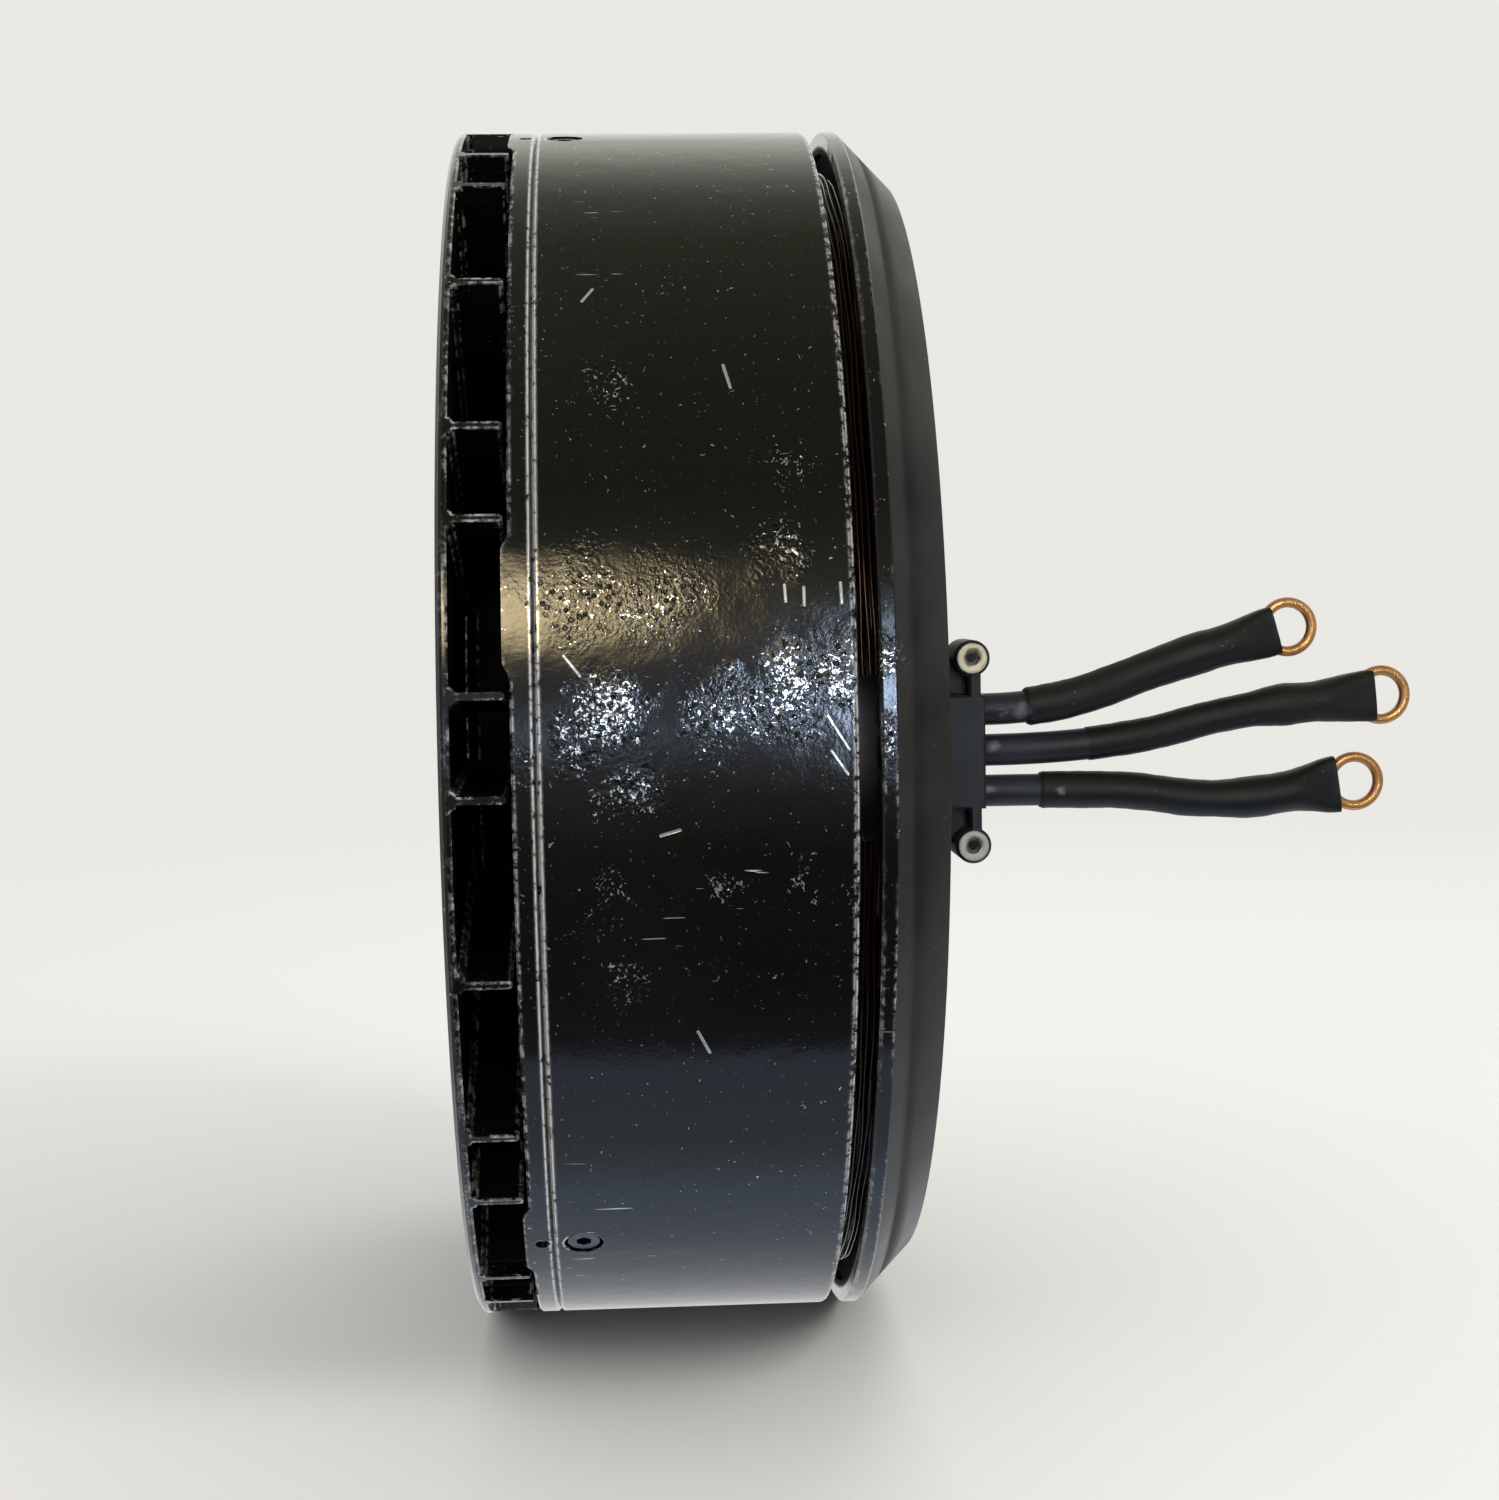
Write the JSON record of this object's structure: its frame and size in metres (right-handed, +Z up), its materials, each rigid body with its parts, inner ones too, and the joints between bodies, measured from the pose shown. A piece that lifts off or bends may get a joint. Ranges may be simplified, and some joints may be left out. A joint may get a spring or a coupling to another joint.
{
  "type": "brushless outrunner motor",
  "caption": "Large flat brushless outrunner motor with a finned fan cover on its spinning bell, a coned fixed base and three phase leads with ring lugs.",
  "frame": {"origin": "on the spin axis in the plane of the rear mounting face, at the centre of the base bolt circle", "axes": "+X along the spin axis, out of the rear mounting face; -X towards the propeller; +Z up; leads leave on the -Y side"},
  "size_m": [0.1317, 0.185, 0.185],
  "materials": {
    "black_paint": "gloss black paint over aluminium and steel",
    "machined_aluminium": "turned",
    "screw_steel": "stainless socket head screws",
    "magnet_nickel": "nickel plated",
    "ground_steel": "ground",
    "bearing_steel": "polished",
    "lamination_steel": "stacked laminations, coated",
    "insulator_plastic": "moulded",
    "enamelled_copper": "reddish enamelled copper wire",
    "outlet_plastic": "black anodised",
    "lead_rubber": "silicone wire insulation",
    "sleeve_plastic": "heat-shrink tube",
    "lug_copper": "bare copper"
  },
  "bodies": {
    "stator": {"stator_base": "black_paint", "bearing_housing": "machined_aluminium", "housing_screws": "screw_steel", "stator_core": "lamination_steel", "front_insulator": "insulator_plastic", "rear_insulator": "insulator_plastic", "coils_phase_a": "enamelled_copper", "coils_phase_b": "enamelled_copper", "coils_phase_c": "enamelled_copper", "phase_jumper_a": "enamelled_copper", "phase_jumper_b": "enamelled_copper", "phase_jumper_c": "enamelled_copper", "lead_tails": "lead_rubber", "cable_block": "outlet_plastic", "block_screws": "screw_steel", "clamp_plate": "outlet_plastic", "clamp_screws": "screw_steel", "front_bearing_outer_race": "bearing_steel", "rear_bearing_outer_race": "bearing_steel", "front_bearing_shields": "bearing_steel", "rear_bearing_shields": "bearing_steel", "phase_lead_1": "lead_rubber", "lead_sleeve_1": "sleeve_plastic", "ring_lug_1": "lug_copper", "phase_lead_2": "lead_rubber", "lead_sleeve_2": "sleeve_plastic", "ring_lug_2": "lug_copper", "phase_lead_3": "lead_rubber", "lead_sleeve_3": "sleeve_plastic", "ring_lug_3": "lug_copper"},
    "rotor": {"fan_cover": "black_paint", "fan_screws": "screw_steel", "rotor_cap": "black_paint", "flux_ring": "black_paint", "bell_screws": "screw_steel", "magnets": "magnet_nickel", "shaft": "ground_steel", "hub_screws": "screw_steel", "shaft_circlip": "ground_steel", "shaft_shim": "ground_steel", "front_bearing_inner_race": "bearing_steel", "rear_bearing_inner_race": "bearing_steel"},
    "front_ball_set": {"front_bearing_balls": "bearing_steel", "front_bearing_cage": "bearing_steel"},
    "rear_ball_set": {"rear_bearing_balls": "bearing_steel", "rear_bearing_cage": "bearing_steel"}
  },
  "joints": [
    {"name": "rotor_spin", "type": "hinge", "parent": "stator", "child": "rotor", "pos_m": [0, 0, 0], "axis": [1, 0, 0], "continuous": true},
    {"name": "front_ball_spin", "type": "hinge", "parent": "stator", "child": "front_ball_set", "pos_m": [-0.0425, 0, 0], "axis": [1, 0, 0], "continuous": true},
    {"name": "rear_ball_spin", "type": "hinge", "parent": "stator", "child": "rear_ball_set", "pos_m": [-0.0075, 0, 0], "axis": [1, 0, 0], "continuous": true}
  ],
  "couplings": [
    {"joint": "front_ball_spin", "follows": "rotor_spin", "ratio": 0.3987},
    {"joint": "rear_ball_spin", "follows": "rotor_spin", "ratio": 0.3987}
  ]
}
